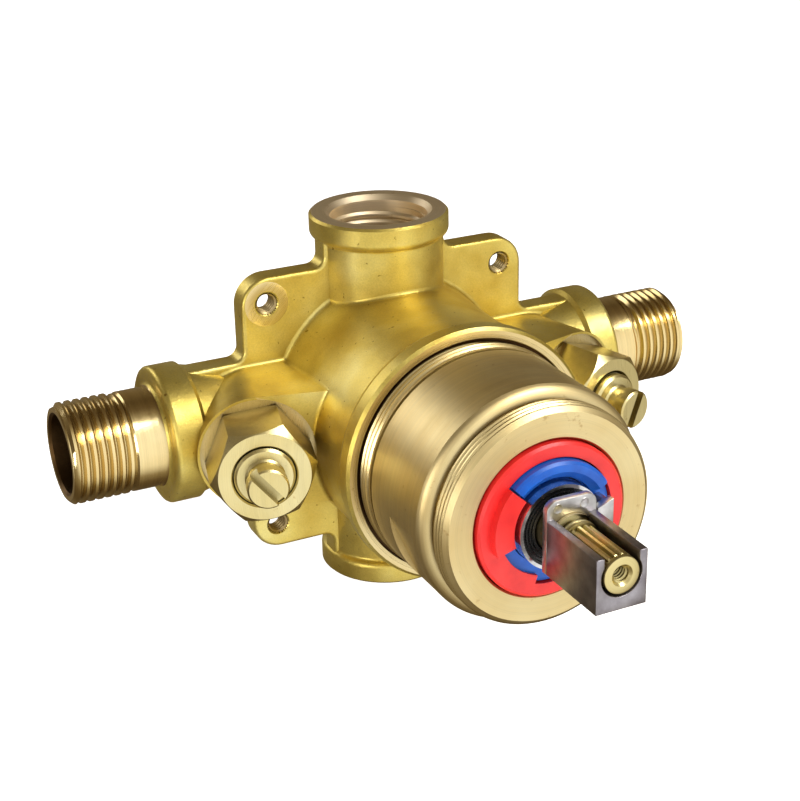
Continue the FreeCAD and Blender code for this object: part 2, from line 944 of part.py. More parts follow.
def stop_stem(lift, slot_angle):
    """Screwed stem with an inner flange, a plain gland part, a neck and a slotted head."""
    base = seat_level + lift + stem_above_seat
    front = base + stem_length
    shoulder = front - stem_head_length - 1.4
    stem = turned([
        (0, base),
        (stem_radius + 0.7, base),
        (stem_radius + 0.7, base + stem_flange),
        (stem_radius, base + stem_flange),
        (stem_radius, base + stem_seal_height - 0.9),
        (stem_groove_radius, base + stem_seal_height - 0.9),
        (stem_groove_radius, base + stem_seal_height + 0.9),
        (stem_radius, base + stem_seal_height + 0.9),
        (stem_radius, shoulder - 1.6),
        (stem_radius - 0.5, shoulder - 1.5),
        (stem_radius - 0.5, shoulder - 1.2),
        (stem_radius, shoulder - 1.1),
        (stem_radius, shoulder - 0.2),
        (stem_radius - 0.5, shoulder + 0.3),
        (stem_neck_radius + 0.4, shoulder + 0.5),
        (stem_neck_radius, shoulder + 0.9),
        (stem_neck_radius, front - 3.2),
        (stem_head_radius, front - 2.8),
        (stem_head_radius, front - 0.35),
        (stem_head_radius - 0.35, front),
        (0, front),
    ])
    slot = block(-9, 9, -stem_slot / 2, stem_slot / 2, front - stem_slot_depth, front + 1)
    slot.rotate(vector(0, 0, 0), vector(0, 0, 1), slot_angle)
    socket = rod(plug_stud_radius + running, base - 1, base + plug_stud_length)
    return stem.cut([slot, socket])


def stop_plug(lift):
    """Loose plug that carries the seat washer and turns on the stem's end."""
    low = seat_level + lift + washer_thickness
    high = seat_level + lift + stem_above_seat - seat_gap
    return turned([
        (0, low - washer_thickness + 0.4),
        (1.4, low - washer_thickness + 0.4),
        (1.4, low),
        (plug_radius, low),
        (plug_radius + 0.8, low + 0.8),
        (plug_radius + 0.8, low + plug_length - 0.6),
        (plug_radius, low + plug_length),
        (plug_stud_radius + 1.2, low + plug_length),
        (plug_stud_radius + 1.2, high),
        (plug_stud_radius, high),
        (plug_stud_radius, high + plug_stud_length - seat_gap),
        (0, high + plug_stud_length - seat_gap),
    ])


def seat_washer(lift):
    low = seat_level + lift
    return tube(1.4 + running, plug_radius, low, low + washer_thickness)


def stem_seal(lift):
    height = seat_level + lift + stem_above_seat + stem_seal_height
    return groove_seal(stem_groove_radius, nut_bore, height)


def body_seal():
    """O-ring at the bottom of the chamber's thread, behind the bonnet."""
    thread_back = body_front - mouth_thread_length
    return to_front(torus((chamber_radius + mouth_thread_radius) / 2, body_seal_section, thread_back + body_seal_section + 0.05))


def bonnet_seal():
    """Flat ring between the cartridge's shoulder and the bonnet."""
    inner = shell_neck_radius + 2 * loose
    return to_front(tube(inner, cartridge_radius - 0.1, shell_shoulder + 0.05, shell_shoulder + 0.55))


singles = {
    "valve_body": valve_body,
    "bonnet": bonnet,
    "hot_limit_ring": hot_limit_ring,
    "limit_cam": limit_cam,
    "retaining_ring": retaining_ring,
    "spindle_collar": spindle_collar,
    "cartridge_base": cartridge_base,
    "cartridge_shell": cartridge_shell,
    "cartridge_seals": cartridge_seals,
    "fixed_disc": fixed_disc,
    "moving_disc": moving_disc,
    "disc_carrier": disc_carrier,
    "balance_sleeve": balance_sleeve,
    "balance_plug": balance_plug,
    "balance_spool": balance_spool,
    "spindle": spindle,
    "spindle_seals": spindle_seals,
    "handle_adapter": handle_adapter,
    "body_seal": body_seal,
    "bonnet_seal": bonnet_seal,
}
for name, make in singles.items():
    save(name, make())

stops = (
    (-1, "left", left_lift, left_slot_angle, left_nut_angle),
    (1, "right", right_lift, right_slot_angle, right_nut_angle),
)
for side, label, lift, slot_angle, nut_angle in stops:
    save(label + "_stop_nut", to_stop(stop_nut(nut_angle), side))
    save(label + "_stop_stem", to_stop(stop_stem(lift, slot_angle), side))
    save(label + "_stem_seal", to_stop(stem_seal(lift), side))
    save(label + "_stop_plug", to_stop(stop_plug(lift), side))
    save(label + "_seat_washer", to_stop(seat_washer(lift), side))
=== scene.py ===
import math
import json
import bpy
import bmesh
from mathutils import Matrix, Vector


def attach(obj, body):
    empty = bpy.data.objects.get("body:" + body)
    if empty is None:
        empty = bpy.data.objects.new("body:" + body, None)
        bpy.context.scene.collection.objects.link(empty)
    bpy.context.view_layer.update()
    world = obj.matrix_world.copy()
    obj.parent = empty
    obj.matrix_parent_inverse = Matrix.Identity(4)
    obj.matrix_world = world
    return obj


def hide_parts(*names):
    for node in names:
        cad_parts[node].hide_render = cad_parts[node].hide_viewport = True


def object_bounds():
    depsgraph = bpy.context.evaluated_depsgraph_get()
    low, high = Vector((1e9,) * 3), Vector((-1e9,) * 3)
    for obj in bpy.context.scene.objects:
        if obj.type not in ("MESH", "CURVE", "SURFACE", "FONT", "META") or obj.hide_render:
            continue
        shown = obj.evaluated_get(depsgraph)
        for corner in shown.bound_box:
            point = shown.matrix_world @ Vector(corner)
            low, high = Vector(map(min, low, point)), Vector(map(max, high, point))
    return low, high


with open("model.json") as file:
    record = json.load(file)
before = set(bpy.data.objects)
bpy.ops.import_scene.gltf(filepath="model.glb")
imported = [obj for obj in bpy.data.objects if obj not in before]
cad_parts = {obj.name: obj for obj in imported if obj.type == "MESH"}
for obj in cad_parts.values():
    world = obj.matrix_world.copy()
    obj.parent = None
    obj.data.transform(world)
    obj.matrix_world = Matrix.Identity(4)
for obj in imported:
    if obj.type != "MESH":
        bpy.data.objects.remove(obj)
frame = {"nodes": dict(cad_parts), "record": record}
cad_low, cad_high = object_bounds()

# Camera of the photograph: a lens and a direction, with the place it stands in
VIEW_AZIMUTH = math.radians(-25.67)
VIEW_ELEVATION = math.radians(23.12)
VIEW_ROLL = math.radians(-1.21)
CAMERA_PLACE = Vector((-0.14345, -0.30862, 0.14159))
CAMERA_LENS = 76.05

MM = 0.001

# Sizes of the construction in millimetres that the dressed pieces follow
AXIS_DEPTH = 1.7
INLET_END = 71.6
STOP_X = 31.45
STOP_TILT = math.radians(15)
EAR_X, EAR_Z = 27.0, 25.0
PIPE_PITCH = 1.814
PIPE_RADIUS = 10.45


def new_object(name, mesh):
    piece = bpy.data.objects.new(name, mesh)
    bpy.context.scene.collection.objects.link(piece)
    return piece


# Camera, floor and lights

def make_camera():
    azimuth, elevation = VIEW_AZIMUTH, VIEW_ELEVATION
    back = Vector((
        math.sin(azimuth) * math.cos(elevation),
        -math.cos(azimuth) * math.cos(elevation),
        math.sin(elevation),
    ))
    level = Vector((0, 0, 1)).cross(back).normalized()
    upright = back.cross(level)
    right = level * math.cos(VIEW_ROLL) + upright * math.sin(VIEW_ROLL)
    up = back.cross(right)
    data = bpy.data.cameras.new("camera")
    data.lens = CAMERA_LENS
    data.sensor_width = 36.0
    camera = bpy.data.objects.new("camera", data)
    turn = Matrix((right, up, back)).transposed().to_4x4()  # columns: the camera's own x, y and z
    camera.matrix_world = Matrix.Translation(CAMERA_PLACE) @ turn
    bpy.context.scene.collection.objects.link(camera)
    bpy.context.scene.camera = camera


def make_floor():
    half, wall_radius, wall_height, wall_sides = 3.0, 2.9, 3.0, 64
    base = cad_low[2]
    mesh = bpy.data.meshes.new("floor")
    corners = ((-half, -half), (half, -half), (half, half), (-half, half))
    mesh.from_pydata([(x, y, base) for x, y in corners], [], [(0, 1, 2, 3)])
    floor = new_object("floor", mesh)
    material = bpy.data.materials.new("floor_white")
    material.use_nodes = True
    shader = material.node_tree.nodes["Principled BSDF"]
    shader.inputs["Base Color"].default_value = (0.93, 0.93, 0.93, 1)
    shader.inputs["Roughness"].default_value = 0.9
    shader.inputs["Specular IOR Level"].default_value = 0.1
    shader.inputs["Emission Color"].default_value = (1, 1, 1, 1)
    shader.inputs["Emission Strength"].default_value = 0.95
    mesh.materials.append(material)
    floor.visible_glossy = False
    wall_mesh = bpy.data.meshes.new("backdrop")
    turns = [2 * math.pi * i / wall_sides for i in range(wall_sides)]
    points = [
        (wall_radius * math.cos(t), wall_radius * math.sin(t), base + rise)
        for rise in (0.0, wall_height) for t in turns
    ]
    pairs = [(i, (i + 1) % wall_sides) for i in range(wall_sides)]
    wall_mesh.from_pydata(points, [], [(i, j, wall_sides + j, wall_sides + i) for i, j in pairs])
    wall_mesh.materials.append(material)
    wall = new_object("backdrop", wall_mesh)
    for flag in ("visible_glossy", "visible_diffuse", "visible_shadow", "visible_transmission"):
        setattr(wall, flag, False)


def area_light(name, place, target, size, size_y, power):
    data = bpy.data.lights.new(name, "AREA")
    data.shape = "RECTANGLE"
    data.size = size
    data.size_y = size_y
    data.energy = power
    light = bpy.data.objects.new(name, data)
    light.visible_camera = False
    aim = Vector(target) - Vector(place)
    turn = aim.to_track_quat("-Z", "Y").to_matrix().to_4x4()
    light.matrix_world = Matrix.Translation(place) @ turn
    bpy.context.scene.collection.objects.link(light)


def make_lights():
    centre = (0, -0.04, 0)
    area_light("top_box", (0.28, -0.40, 0.56), centre, 0.34, 0.20, 2.6)
    area_light("left_box", (-0.70, -0.34, 0.06), centre, 0.14, 0.36, 1.7)
    area_light("right_box", (0.70, -0.20, 0.04), centre, 0.10, 0.30, 0.05)
    area_light("back_box", (-0.33, 0.56, 0.30), centre, 0.34, 0.30, 0.7)
    # Surroundings: bright in front, dim and warm at the sides and behind
    world = bpy.data.worlds.new("studio")
    world.use_nodes = True
    tree = world.node_tree
    background = tree.nodes["Background"]
    place = tree.nodes.new("ShaderNodeTexCoord")
    front = tree.nodes.new("ShaderNodeVectorMath")
    front.operation = "DOT_PRODUCT"
    front.inputs[1].default_value = (0.08, -0.5, -0.02)
    centred = tree.nodes.new("ShaderNodeMath")
    centred.inputs[1].default_value = 0.5
    ramp = tree.nodes.new("ShaderNodeValToRGB")
    tree.links.new(place.outputs["Generated"], front.inputs[0])
    tree.links.new(front.outputs["Value"], centred.inputs[0])
    tree.links.new(centred.outputs[0], ramp.inputs["Fac"])
    tree.links.new(ramp.outputs["Color"], background.inputs["Color"])
    stops = (
        (0.0, (0.20, 0.16, 0.10)), (0.3, (0.09, 0.065, 0.035)), (0.5, (0.12, 0.085, 0.045)),
        (0.70, (0.30, 0.25, 0.16)), (0.88, (1.08, 1.07, 1.03)), (1.0, (1.22, 1.22, 1.22)),
    )
    while len(ramp.color_ramp.elements) < len(stops):
        ramp.color_ramp.elements.new(0.5)
    for element, (position, color) in zip(ramp.color_ramp.elements, stops):
        element.position = position
        element.color = (*color, 1)
    background.inputs["Strength"].default_value = 1.0
    bpy.context.scene.world = world
    settings = bpy.context.scene.view_settings
    settings.view_transform = "Standard"
    settings.look = "None"


# Materials

class Recipe:
    """Short way to lay out one node material."""

    def __init__(self, name):
        self.material = bpy.data.materials.new(name)
        self.material.use_nodes = True
        self.tree = self.material.node_tree
        self.shader = self.tree.nodes["Principled BSDF"]
        self.place = self.add("ShaderNodeTexCoord").outputs["Object"]

    def add(self, kind, **values):
        node = self.tree.nodes.new(kind)
        for key, value in values.items():
            setattr(node, key, value)
        return node

    def link(self, source, target):
        self.tree.links.new(source, target)

    def set(self, **values):
        for key, value in values.items():
            self.shader.inputs[key.replace("_", " ")].default_value = value

    def stretched(self, x, y, z):
        """Object coordinates in millimetres, stretched by a factor along each axis."""
        node = self.add("ShaderNodeMapping")
        node.inputs["Scale"].default_value = (x / MM, y / MM, z / MM)
        self.link(self.place, node.inputs["Vector"])
        return node.outputs["Vector"]

    def noise(self, vector, scale, detail=3.0, roughness=0.5):
        node = self.add("ShaderNodeTexNoise")
        node.inputs["Scale"].default_value = scale
        node.inputs["Detail"].default_value = detail
        node.inputs["Roughness"].default_value = roughness
        self.link(vector, node.inputs["Vector"])
        return node.outputs["Fac"]

    def ramp(self, value, *stops):
        node = self.add("ShaderNodeValToRGB")
        ramp = node.color_ramp
        while len(ramp.elements) < len(stops):
            ramp.elements.new(0.5)
        for element, (position, color) in zip(ramp.elements, stops):
            element.position = position
            if isinstance(color, (int, float)):
                color = (color, color, color)
            element.color = (*color, 1)
        self.link(value, node.inputs["Fac"])
        return node.outputs["Color"]

    def math(self, operation, a, b=None, c=None):
        node = self.add("ShaderNodeMath", operation=operation)
        for socket, value in zip(node.inputs, (a, b, c)):
            if value is None:
                continue
            if isinstance(value, (int, float)):
                socket.default_value = value
            else:
                self.link(value, socket)
        return node.outputs[0]

    def mix(self, amount, a, b, mode="MIX"):
        node = self.add("ShaderNodeMix", data_type="RGBA", blend_type=mode)
        for socket, value in zip((node.inputs[0], node.inputs[6], node.inputs[7]), (amount, a, b)):
            if isinstance(value, (int, float)):
                socket.default_value = value
            elif isinstance(value, tuple):
                socket.default_value = (*value, 1)
            else:
                self.link(value, socket)
        return node.outputs[2]

    def bump(self, height, strength, distance, normal=None):
        node = self.add("ShaderNodeBump")
        node.inputs["Strength"].default_value = strength
        node.inputs["Distance"].default_value = distance * MM
        self.link(height, node.inputs["Height"])
        if normal is not None:
            self.link(normal, node.inputs["Normal"])
        return node.outputs["Normal"]

    def painted_recess_shade(self, color, reach, shade, stain_and_shade):
        """Painted shade: darker colour where the surface is hemmed in, from an ambient occlusion node."""
        node = self.add("ShaderNodeAmbientOcclusion", samples=6)
        node.inputs["Distance"].default_value = reach * MM
        amount = self.ramp(node.outputs["AO"], (0.25, shade), (0.85, 0.0))
        return self.mix(amount, color, stain_and_shade)

    def finish(self, color=None, roughness=None, normal=None):
        for value, name in ((color, "Base Color"), (roughness, "Roughness"), (normal, "Normal")):
            if value is not None:
                self.link(value, self.shader.inputs[name])
        return self.material


def cast_brass():
    """Blasted yellow casting with fine grain, broad tone changes, dark specks, and painted shade in its
    hollows that leaves the edges brighter.
    """
    r = Recipe("cast_brass")
    r.set(Metallic=0.86)
    even = r.stretched(1, 1, 1)
    broad = r.noise(even, 0.06, 3)
    grain = r.noise(even, 2.6, 4, 0.65)
    specks = r.noise(even, 0.9, 2)
    color = r.ramp(
        broad,
        (0.34, (0.60, 0.42, 0.075)), (0.52, (0.79, 0.62, 0.15)), (0.70, (0.90, 0.77, 0.28)),
    )
    fine = r.ramp(grain, (0.35, 0.86), (0.65, 1.0))
    color = r.mix(1.0, color, fine, "MULTIPLY")
    dark = r.ramp(specks, (0.24, (0.30, 0.20, 0.06)), (0.30, (1, 1, 1)))
    color = r.mix(0.8, color, dark, "MULTIPLY")
    # Painted shade: colour darkened towards dark brown where ambient occlusion finds the surface hemmed
    # in.
    color = r.painted_recess_shade(color, 7.0, 0.85, (0.30, 0.20, 0.03))
    roughness = r.ramp(grain, (0.3, 0.30), (0.7, 0.42))
    normal = r.bump(broad, 0.25, 2.0)
    normal = r.bump(grain, 0.75, 0.07, normal)
    return r.finish(color, roughness, normal)


def machined_brass(name, pale, warm, around, gloss):
    """Turned brass: fine tool lines round an axis, faint colour drift, small stains and painted shade in
    hollows.
    """
    r = Recipe(name)
    r.set(Metallic=1.0)
    split = r.add("ShaderNodeSeparateXYZ")
    r.link(r.stretched(1, 1, 1), split.inputs[0])
    outputs = dict(zip("xyz", split.outputs))
    along = outputs[around]
    first, second = [outputs[axis] for axis in "xyz" if axis != around]
    if around != "y":
        shifted = r.math("ADD", outputs["y"], AXIS_DEPTH)
        first, second = (shifted if axis is outputs["y"] else axis for axis in (first, second))
    squares = [r.math("MULTIPLY", axis, axis) for axis in (first, second)]
    radius = r.math("SQRT", r.math("ADD", *squares))
    join = r.add("ShaderNodeCombineXYZ")
    r.link(radius, join.inputs[0])
    r.link(along, join.inputs[1])
    lines = r.noise(join.outputs[0], 7.0, 3, 0.6)
    bands = r.noise(join.outputs[0], 0.8, 2, 0.5)
    even = r.stretched(1, 1, 1)
    broad = r.noise(even, 0.08, 3)
    stain_and_shade = r.noise(even, 0.45, 4, 0.7)
    color = r.ramp(broad, (0.3, warm), (0.7, pale))
    color = r.mix(1.0, color, r.ramp(lines, (0.35, 0.90), (0.65, 1.0)), "MULTIPLY")
    color = r.mix(1.0, color, r.ramp(bands, (0.35, 0.93), (0.65, 1.0)), "MULTIPLY")
    spots = r.ramp(stain_and_shade, (0.26, (0.55, 0.38, 0.22)), (0.36, (1, 1, 1)))
    color = r.mix(0.5, color, spots, "MULTIPLY")
    # Painted shade: colour darkened towards a deep warm brown where ambient occlusion finds the surface
    # hemmed in.
    color = r.painted_recess_shade(color, 3.0, 0.8, tuple(0.35 * value for value in warm))
    roughness = r.ramp(lines, (0.3, gloss[0]), (0.7, gloss[1]))
    return r.finish(color, roughness, r.bump(lines, 0.25, 0.02))


def plastic(name, deep, bright, roughness=0.35):
    """Moulded plastic with faint flow marks."""
    r = Recipe(name)
    even = r.stretched(1, 1, 1)
    flow = r.noise(even, 0.25, 3)
    grain = r.noise(even, 4.0, 2)
    color = r.ramp(flow, (0.3, deep), (0.7, bright))
    rough = r.ramp(grain, (0.3, roughness - 0.05), (0.7, roughness + 0.08))
    return r.finish(color, rough, r.bump(grain, 0.15, 0.02))


def cast_zinc(name, dark, pale):
    """Die-cast grey metal with a fine skin and flow marks."""
    r = Recipe(name)
    r.set(Metallic=1.0)
    even = r.stretched(1, 1, 1)
    flow = r.noise(even, 0.35, 4)
    grain = r.noise(even, 3.5, 3)
    color = r.ramp(flow, (0.3, dark), (0.7, pale))
    rough = r.ramp(grain, (0.3, 0.30), (0.7, 0.46))
    return r.finish(color, rough, r.bump(grain, 0.3, 0.03))


def bright_steel():
    r = Recipe("bright_steel")
    r.set(Metallic=1.0)
    lines = r.noise(r.stretched(1, 6, 1), 0.8, 3)
    color = r.ramp(lines, (0.3, (0.62, 0.62, 0.62)), (0.7, (0.80, 0.80, 0.80)))
    rough = r.ramp(lines, (0.3, 0.15), (0.7, 0.28))
    return r.finish(color, rough, r.bump(lines, 0.1, 0.01))


TURNED_BRASS = {  # pale tone, warm tone, axis of turning, range of roughness
    "machined_brass": ((0.94, 0.78, 0.42), (0.86, 0.67, 0.31), "y", (0.24, 0.38)),
    "bonnet_brass": ((0.94, 0.78, 0.42), (0.84, 0.65, 0.30), "y", (0.36, 0.50)),
    # Next row: brass darkened as painted shade, for the threads inside the ear holes.
    "hole_painted_shade": ((0.52, 0.40, 0.20), (0.36, 0.25, 0.10), "y", (0.25, 0.4)),
    "thread_brass": ((0.95, 0.77, 0.40), (0.85, 0.63, 0.27), "x", (0.14, 0.25)),
    "port_brass": ((0.98, 0.84, 0.60), (0.90, 0.73, 0.48), "z", (0.40, 0.52)),
    # Next row: near-black brown, painted shade for the insides of bores and the gap in the mouth.
    "bore_painted_shade": ((0.20, 0.12, 0.045), (0.11, 0.05, 0.018), "y", (0.35, 0.5)),
    "nut_brass": ((0.90, 0.78, 0.40), (0.82, 0.68, 0.30), "y", (0.26, 0.40)),
}

MATERIALS = {
    "cast_brass": cast_brass(),
    **{name: machined_brass(name, *values) for name, values in TURNED_BRASS.items()},
    "red_plastic": plastic("red_plastic", (0.74, 0.018, 0.018), (0.88, 0.03, 0.025)),
    "blue_plastic": plastic("blue_plastic", (0.003, 0.08, 0.46), (0.006, 0.135, 0.64)),
    "black_plastic": plastic("black_plastic", (0.008, 0.008, 0.009), (0.02, 0.02, 0.02), 0.25),
    "white_plastic": plastic("white_plastic", (0.66, 0.65, 0.60), (0.76, 0.75, 0.71)),
    "ceramic": plastic("ceramic", (0.74, 0.74, 0.71), (0.82, 0.82, 0.80), 0.18),
    "rubber": plastic("rubber", (0.012, 0.012, 0.012), (0.025, 0.025, 0.025), 0.55),
    "cast_zinc": cast_zinc("cast_zinc", (0.27, 0.245, 0.265), (0.43, 0.405, 0.43)),
    "pale_zinc": cast_zinc("pale_zinc", (0.44, 0.43, 0.43), (0.70, 0.69, 0.68)),
    "bright_steel": bright_steel(),
}


def dress_frame():
    slots = {part["node"]: part["material_slot"] for part in frame["record"]["subparts"]}
    for name, node in frame["nodes"].items():
        node.data.materials.clear()
        slot = "nut_brass" if name.endswith(("_stop_nut", "_stop_stem")) else slots[name]
        slot = "bonnet_brass" if name == "bonnet" else slot
        node.data.materials.append(MATERIALS[slot])


# Places: each maps local (x, y, z) in millimetres, with z along the axis of turning, into the part

def front_place(x, y, z):
    return (x, -z, y)


def side_place(side):
    return lambda x, y, z: (side * z, -AXIS_DEPTH - side * x, y)


def port_place(side):
    return lambda x, y, z: (x, -AXIS_DEPTH + y, side * z)


def hole_place(centre_x, centre_z):
    return lambda x, y, z: (centre_x + x, -z, centre_z + y)


class Shape:
    """Collects turned surfaces and thread coils into one mesh."""

    def __init__(self):
        self.points = []
        self.faces = []

    def rows(self, rows, closed):
        """Quads between neighbouring rows of points."""
        start = len(self.points)
        width = len(rows[0])
        for row in rows:
            self.points.extend(row)
        count = width if closed else width - 1
        for i in range(len(rows) - 1):
            for j in range(count):
                a = start + i * width + j
                b = start + i * width + (j + 1) % width
                self.faces.append((a, b, b + width, a + width))

    def turn(self, profile, place, steps=160):
        """Surface turned about the local axis from (radius, height) points."""
        angles = [2 * math.pi * i / steps for i in range(steps)]
        circle = [(math.cos(t), math.sin(t)) for t in angles]
        self.rows([[place(r * x, r * y, z) for x, y in circle] for r, z in profile], True)

    def coil(self, base, crest, start, end, pitch, place, steps=72, crest_limit=None):
        """Helical thread ridge between two heights, fading out over a third of a turn at each end."""
        turns = (end - start) / pitch
        count = int(turns * steps)
        rows = []
        for i in range(count + 1):
            angle = 2 * math.pi * i / steps
            middle = start + pitch * i / steps
            fade = min(1.0, 3.0 * i / steps, 3.0 * (count - i) / steps)
            row = []
            for part, rise in ((-0.47, 0.0), (-0.15, 1.0), (0.15, 1.0), (0.47, 0.0)):
                z = min(max(middle + part * pitch, start), end)
                r = base + (crest - base) * rise * fade
                if crest_limit is not None:
                    r = min(r, crest_limit(z))
                row.append(place(r * math.cos(angle), r * math.sin(angle), z))
            rows.append(row)
        self.rows(rows, False)

    def build(self, name, material, sharp=34, body="valve"):
        mesh = bpy.data.meshes.new(name)
        mesh.from_pydata([Vector(p) * MM for p in self.points], [], self.faces)
        mesh.materials.append(material)
        tidy_normals(mesh, sharp)
        piece = new_object(name, mesh)
        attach(piece, body)
        return piece


def tidy_normals(mesh, sharp):
    shape = bmesh.new()
    shape.from_mesh(mesh)
    bmesh.ops.recalc_face_normals(shape, faces=shape.faces)
    shape.to_mesh(mesh)
    shape.free()
    mesh.polygons.foreach_set("use_smooth", [True] * len(mesh.polygons))
    mesh.set_sharp_from_angle(angle=math.radians(sharp))


def partial_copy(node_name, name, slots, keep, slot_of, body):
    """Copy of a construction node with its own shading, without the faces that keep() refuses."""
    source = frame["nodes"][node_name].data
    points = [tuple(v.co) for v in source.vertices]
    faces, normals, indices = [], [], []
    corner_normals = source.corner_normals
    for polygon in source.polygons:
        corners = [points[i] for i in polygon.vertices]
        if not keep(corners):
            continue
        faces.append(tuple(polygon.vertices))
        normals.extend(tuple(corner_normals[i].vector) for i in polygon.loop_indices)
        middle = [sum(values) / len(corners) / MM for values in zip(*corners)]
        indices.append(slot_of(*middle))
    mesh = bpy.data.meshes.new(name)
    mesh.from_pydata(points, [], faces)
    mesh.polygons.foreach_set("use_smooth", [True] * len(faces))
    for slot in slots:
        mesh.materials.append(MATERIALS[slot])
    mesh.polygons.foreach_set("material_index", indices)
    mesh.normals_split_custom_set(normals)
    piece = new_object(name, mesh)
    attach(piece, body)
    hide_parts(node_name)
    return piece


# Casting: the construction's surface with its threaded ends opened for real threads

# Slot 4 is painted shade: the insides of bores, holes and the mouth are coloured near-black brown.
CASTING_SLOTS = ("cast_brass", "machined_brass", "thread_brass", "port_brass", "bore_painted_shade")


def casting_slot(x, y, z):
    """Which of CASTING_SLOTS a point of the casting's surface has, in millimetres."""
    across = math.hypot(x, y + AXIS_DEPTH)
    arm_off = math.hypot(y + AXIS_DEPTH, z)
    # Surfaces given slot 4 below get the near-black colour as painted shade.
    if y < -41.7:
        return 1
    if abs(z) > 40.2:
        return 3
    if abs(z) > 12 and across < 11.4:
        return 3 if abs(z) > 25 else 4
    if abs(x) > 38 and arm_off < 8.6:
        return 4
    if abs(x) > 52.3:
        return 2
    side = 1 if x > 0 else -1
    dx, dy = x - side * STOP_X, y + AXIS_DEPTH
    along = side * dx * math.sin(STOP_TILT) - dy * math.cos(STOP_TILT)
    off = math.sqrt(max(0.0, dx * dx + dy * dy + z * z - along * along))
    if off < 11.75 and along > 17 and abs(x) > 18:
        return 1
    if off < 8.7 and along > -7.6 and abs(x) > 18 and y < 4:
        return 4
    if math.hypot(abs(x) - EAR_X, abs(z) - EAR_Z) < 2.35:
        return 4
    return 4 if math.hypot(x, z) < 25.2 and y < -12 else 0


def keep_casting(corners):
    """Refuses the outside of the inlet ends, which get real threads."""
    return not all(abs(x) > 0.05065 and math.hypot(y + 0.0017, z) > 0.0095 for x, y, z in corners)


def make_casting():
    partial_copy("valve_body", "casting", CASTING_SLOTS, keep_casting, casting_slot, "valve")


def make_threads():
    machined = MATERIALS["machined_brass"]
    for side, name in ((-1, "left"), (1, "right")):
        place = side_place(side)
        flange = Shape()
        flange.turn([
            (14.3, 50.78), (14.25, 51.1), (14.0, 51.5), (13.6, 51.72), (13.0, 51.8), (11.9, 51.7),
            (11.3, 51.75), (10.85, 52.0), (10.6, 52.4),
        ], place)
        flange.build(name + "_inlet_flange", MATERIALS["cast_brass"], 60)
        nipple = Shape()
        nipple.turn([
            (10.6, 52.38), (10.42, 52.7), (10.36, 53.2), (10.34, 58.4), (10.0, 58.8), (9.7, 59.2),
            (9.68, 59.8), (9.68, INLET_END - 0.4), (9.56, INLET_END),
        ], place)
        nipple.coil(9.66, PIPE_RADIUS, 58.9, INLET_END + 0.3, PIPE_PITCH, place, 96,
                    lambda z: PIPE_RADIUS - 0.9 * max(0.0, z - INLET_END + 0.9))
        nipple.points = [(max(-INLET_END, min(INLET_END, x)), y, z) for x, y, z in nipple.points]
        nipple.build(name + "_inlet_thread", MATERIALS["thread_brass"])
    for side, name in ((1, "top"), (-1, "bottom")):
        port = Shape()
        port.coil(10.25, 9.7, 26.6, 37.8, PIPE_PITCH, port_place(side), 96)
        port.build(name + "_port_thread", MATERIALS["port_brass"])
    # Threads inside the ear holes, coloured dark as painted shade.
    holes = Shape()
    for x in (-EAR_X, EAR_X):
        for z in (-EAR_Z, EAR_Z):
            holes.coil(2.2, 1.78, 0.2, 4.5, 0.8, hole_place(x, z), 40)
    holes.build("ear_threads", MATERIALS["hole_painted_shade"])
    ring = Shape()
    profile = [(2.75, 4.705), (2.75, 4.735), (4.6, 4.735), (4.72, 4.705)]
    ring.turn(profile, hole_place(-EAR_X, EAR_Z), 72)
    ring.build("ear_spot_face", machined)
    rim = Shape()
    profile = [(24.55, 41.0), (24.55, 41.6), (24.7, 41.76), (25.55, 41.78), (25.7, 41.6)]
    rim.turn(profile, front_place, 200)
    rim.build("mouth_rim", machined)
    # Painted shade: a near-black flat ring laid in the gap between the mouth rim and the bonnet.
    gap = Shape()
    gap.turn([(24.7, 40.9), (23.5, 40.9)], front_place, 120)
    gap.build("mouth_gap_shade", MATERIALS["bore_painted_shade"])
    bonnet = Shape()
    bonnet.coil(23.66, 24.04, 41.2, 45.35, 1.25, front_place, 120)
    bonnet.coil(21.64, 22.0, 68.0, 71.3, 1.05, front_place, 120)
    bonnet.build("bonnet_threads", machined)


# Handle adapter and the spindle's splined nose

HALF = 5.15
BOTTOM = -6.7
ADAPTER_BACK, ADAPTER_FRONT = 78.2, 96.2
FLANGE_FRONT = ADAPTER_BACK + 1.5


def extruded(shape, outline, low, high):
    """Prism between two depths over an (x, z) outline, with its two end faces."""
    start = len(shape.points)
    count = len(outline)
    for depth in (low, high):
        shape.points.extend((x, -depth, z) for x, z in outline)
    shape.faces.append(tuple(range(start, start + count)))
    shape.faces.append(tuple(range(start + 2 * count - 1, start + count - 1, -1)))
    for i in range(count):
        j = (i + 1) % count
        shape.faces.append((start + i, start + j, start + count + j, start + count + i))


def rounded(corners):
    """Outline with arcs: each corner is (x, z, radius)."""
    outline = []
    count = len(corners)
    for i, (x, z, radius) in enumerate(corners):
        if radius == 0:
            outline.append((x, z))
            continue
        here = Vector((x, z))
        before = (Vector(corners[i - 1][:2]) - here).normalized()
        after = (Vector(corners[(i + 1) % count][:2]) - here).normalized()
        centre = here + (before + after) * radius
        for step in range(7):
            turn = math.pi / 2 * step / 6
            reach = after * math.cos(turn) + before * math.sin(turn)
            outline.append(tuple(centre - reach * radius))
    return outline


